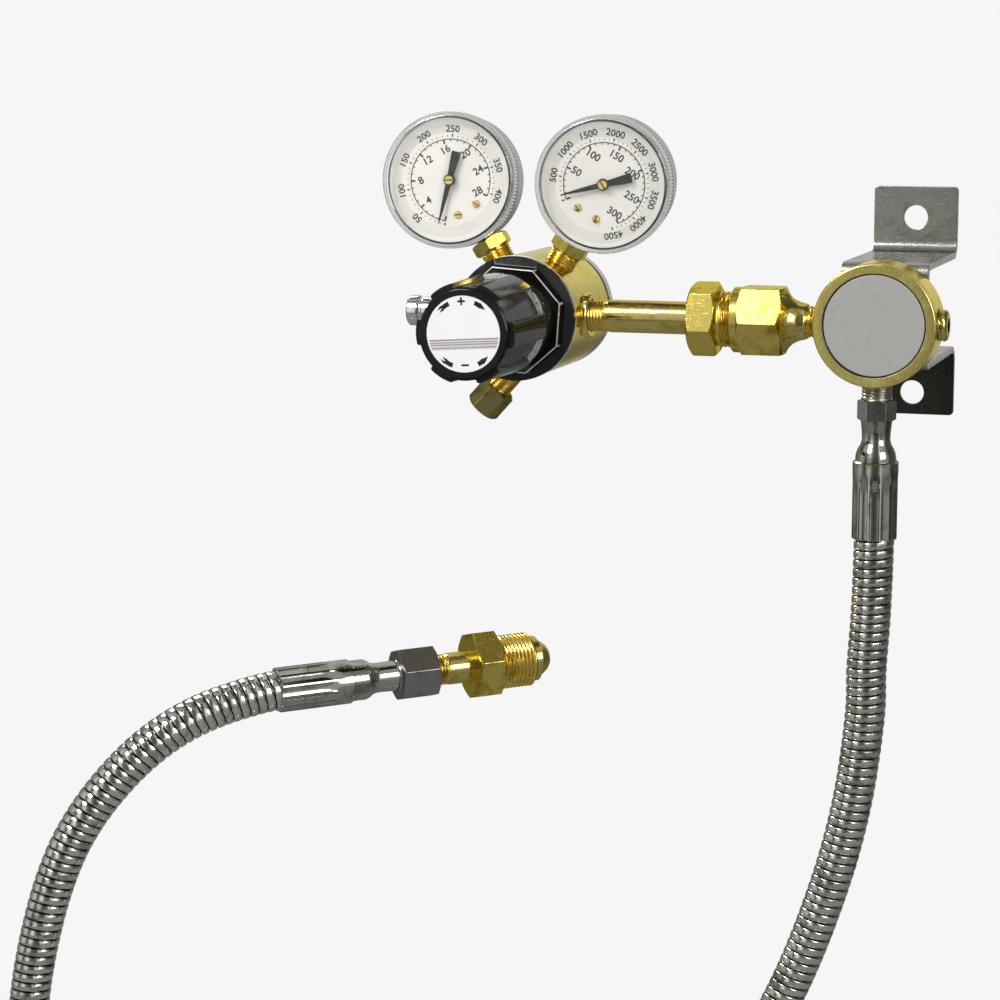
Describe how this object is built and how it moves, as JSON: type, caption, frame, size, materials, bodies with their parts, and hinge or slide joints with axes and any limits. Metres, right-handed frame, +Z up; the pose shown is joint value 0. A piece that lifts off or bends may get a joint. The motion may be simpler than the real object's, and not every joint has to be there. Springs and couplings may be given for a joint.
{
  "type": "gas regulator station",
  "caption": "Wall bracket with a round block that feeds a gauged pressure regulator at its side and an armoured steel hose to a cylinder below.",
  "frame": {"origin": "centre of the two wall bolt holes, on the wall plane", "axes": "+Z up, +X to the viewer's right, -Y to the front, away from the wall"},
  "size_m": [0.3875, 0.2291, 0.5488],
  "materials": {
    "wall_bracket": "dull rolled stainless strip with light scuffs",
    "block_screws": "turned steel",
    "station_block": "polished brass, faint handling stains",
    "label_plate": "fine brushed aluminium",
    "port_plug": "bright cut brass",
    "inlet_adapter": "bright cut brass",
    "inlet_nipple": "polished brass, faint handling stains",
    "inlet_nut": "bright cut brass",
    "inlet_filter": "sintered bronze",
    "regulator_body": "polished brass, faint handling stains",
    "bonnet": "gloss black enamel",
    "rear_cap": "polished chrome plate",
    "cap_seal": "black rubber",
    "rear_plug": "polished brass, faint handling stains",
    "adjusting_knob": "gloss black moulded plastic",
    "knob_label": "printed white film",
    "adjusting_screw": "turned steel",
    "screw_clip": "black rubber",
    "spring_button": "turned steel",
    "range_spring": "turned steel",
    "diaphragm": "turned steel",
    "diaphragm_plate": "turned steel",
    "valve_seat": "ivory seat plastic",
    "poppet": "turned steel",
    "poppet_spring": "turned steel",
    "relief_body": "polished brass, faint handling stains",
    "relief_poppet": "turned steel",
    "relief_spring": "turned steel",
    "relief_plug": "polished brass, faint handling stains",
    "outlet_fitting": "polished chrome plate",
    "outlet_gauge_socket": "bright cut brass",
    "outlet_gauge_case": "plated steel",
    "outlet_gauge_tube": "sintered bronze",
    "outlet_gauge_movement": "polished brass, faint handling stains",
    "outlet_gauge_dial": "printed white dial",
    "outlet_gauge_screws": "bright cut brass",
    "outlet_gauge_pointer": "black painted pointer",
    "outlet_gauge_hub": "bright cut brass",
    "outlet_gauge_lens": "clear moulded lens",
    "inlet_gauge_socket": "bright cut brass",
    "inlet_gauge_case": "plated steel",
    "inlet_gauge_tube": "sintered bronze",
    "inlet_gauge_movement": "polished brass, faint handling stains",
    "inlet_gauge_dial": "printed white dial",
    "inlet_gauge_screws": "bright cut brass",
    "inlet_gauge_pointer": "black painted pointer",
    "inlet_gauge_hub": "bright cut brass",
    "inlet_gauge_lens": "clear moulded lens",
    "hose_tube": "polished stainless armour rings",
    "hose_top_fitting": "polished stainless armour rings",
    "top_ferrule": "polished stainless armour rings",
    "lower_ferrule": "polished stainless armour rings",
    "hose_end_fitting": "polished stainless armour rings",
    "cylinder_nipple": "polished brass, faint handling stains",
    "cylinder_nut": "bright cut brass"
  },
  "bodies": {
    "station": {"wall_bracket": "wall_bracket", "block_screws": "block_screws", "station_block": "station_block", "label_plate": "label_plate", "port_plug": "port_plug", "inlet_adapter": "inlet_adapter", "inlet_nipple": "inlet_nipple", "inlet_filter": "inlet_filter", "regulator_body": "regulator_body", "bonnet": "bonnet", "rear_cap": "rear_cap", "cap_seal": "cap_seal", "rear_plug": "rear_plug", "range_spring": "range_spring", "diaphragm": "diaphragm", "valve_seat": "valve_seat", "poppet_spring": "poppet_spring", "relief_body": "relief_body", "relief_spring": "relief_spring", "relief_plug": "relief_plug", "outlet_fitting": "outlet_fitting", "outlet_gauge_socket": "outlet_gauge_socket", "outlet_gauge_case": "outlet_gauge_case", "outlet_gauge_tube": "outlet_gauge_tube", "outlet_gauge_movement": "outlet_gauge_movement", "outlet_gauge_dial": "outlet_gauge_dial", "outlet_gauge_screws": "outlet_gauge_screws", "outlet_gauge_lens": "outlet_gauge_lens", "inlet_gauge_socket": "inlet_gauge_socket", "inlet_gauge_case": "inlet_gauge_case", "inlet_gauge_tube": "inlet_gauge_tube", "inlet_gauge_movement": "inlet_gauge_movement", "inlet_gauge_dial": "inlet_gauge_dial", "inlet_gauge_screws": "inlet_gauge_screws", "inlet_gauge_lens": "inlet_gauge_lens", "hose_tube": "hose_tube", "hose_top_fitting": "hose_top_fitting", "top_ferrule": "top_ferrule", "lower_ferrule": "lower_ferrule", "hose_end_fitting": "hose_end_fitting", "cylinder_nipple": "cylinder_nipple"},
    "knob_set": {"adjusting_knob": "adjusting_knob", "knob_label": "knob_label", "adjusting_screw": "adjusting_screw", "screw_clip": "screw_clip"},
    "button": {"spring_button": "spring_button"},
    "diaphragm_set": {"diaphragm_plate": "diaphragm_plate"},
    "main_poppet": {"poppet": "poppet"},
    "relief_disc": {"relief_poppet": "relief_poppet"},
    "outlet_pointer": {"outlet_gauge_pointer": "outlet_gauge_pointer", "outlet_gauge_hub": "outlet_gauge_hub"},
    "inlet_pointer": {"inlet_gauge_pointer": "inlet_gauge_pointer", "inlet_gauge_hub": "inlet_gauge_hub"},
    "inlet_union_nut": {"inlet_nut": "inlet_nut"},
    "cylinder_union_nut": {"cylinder_nut": "cylinder_nut"}
  },
  "joints": [
    {"name": "knob_turn", "type": "hinge", "parent": "station", "child": "knob_set", "pos_m": [-0.155, -0.1545, 0], "axis": [0, 1, 0], "range_deg": [0, 1800]},
    {"name": "button_slide", "type": "slide", "parent": "station", "child": "button", "axis": [0, 1, 0], "range_m": [0, 0.0075], "deforming": ["range_spring"]},
    {"name": "diaphragm_travel", "type": "slide", "parent": "station", "child": "diaphragm_set", "axis": [0, 1, 0], "range_m": [-0.0008, 0], "stiffness_N_per_m": 4000, "deforming": ["range_spring", "diaphragm"]},
    {"name": "poppet_lift", "type": "slide", "parent": "station", "child": "main_poppet", "axis": [0, 1, 0], "range_m": [0, 0.0008], "stiffness_N_per_m": 2000, "springref_m": -0.002, "deforming": ["poppet_spring"]},
    {"name": "relief_lift", "type": "slide", "parent": "station", "child": "relief_disc", "axis": [-0.6691, 0, -0.7431], "range_m": [0, 0.002], "stiffness_N_per_m": 2000, "springref_m": -0.003, "deforming": ["relief_spring"]},
    {"name": "outlet_pointer_turn", "type": "hinge", "parent": "station", "child": "outlet_pointer", "pos_m": [-0.18935, -0.10347, 0.05869], "axis": [-0.0747, 0.9962, -0.0449], "range_deg": [0, 270], "stiffness_Nm_per_rad": 0.002},
    {"name": "inlet_pointer_turn", "type": "hinge", "parent": "station", "child": "inlet_pointer", "pos_m": [-0.1193, -0.10347, 0.05788], "axis": [-0.0747, 0.9962, 0.0449], "range_deg": [0, 270], "stiffness_Nm_per_rad": 0.002},
    {"name": "inlet_nut_turn", "type": "hinge", "parent": "station", "child": "inlet_union_nut", "pos_m": [-0.0815, -0.0945, 0], "axis": [1, 0, 0], "continuous": true},
    {"name": "cylinder_nut_turn", "type": "hinge", "parent": "station", "child": "cylinder_union_nut", "pos_m": [-0.17727, -0.10447, -0.15848], "axis": [0.7656, 0.6424, 0.0349], "continuous": true}
  ],
  "couplings": [
    {"joint": "button_slide", "follows": "knob_turn", "m_per_rad": 0.00023873}
  ]
}
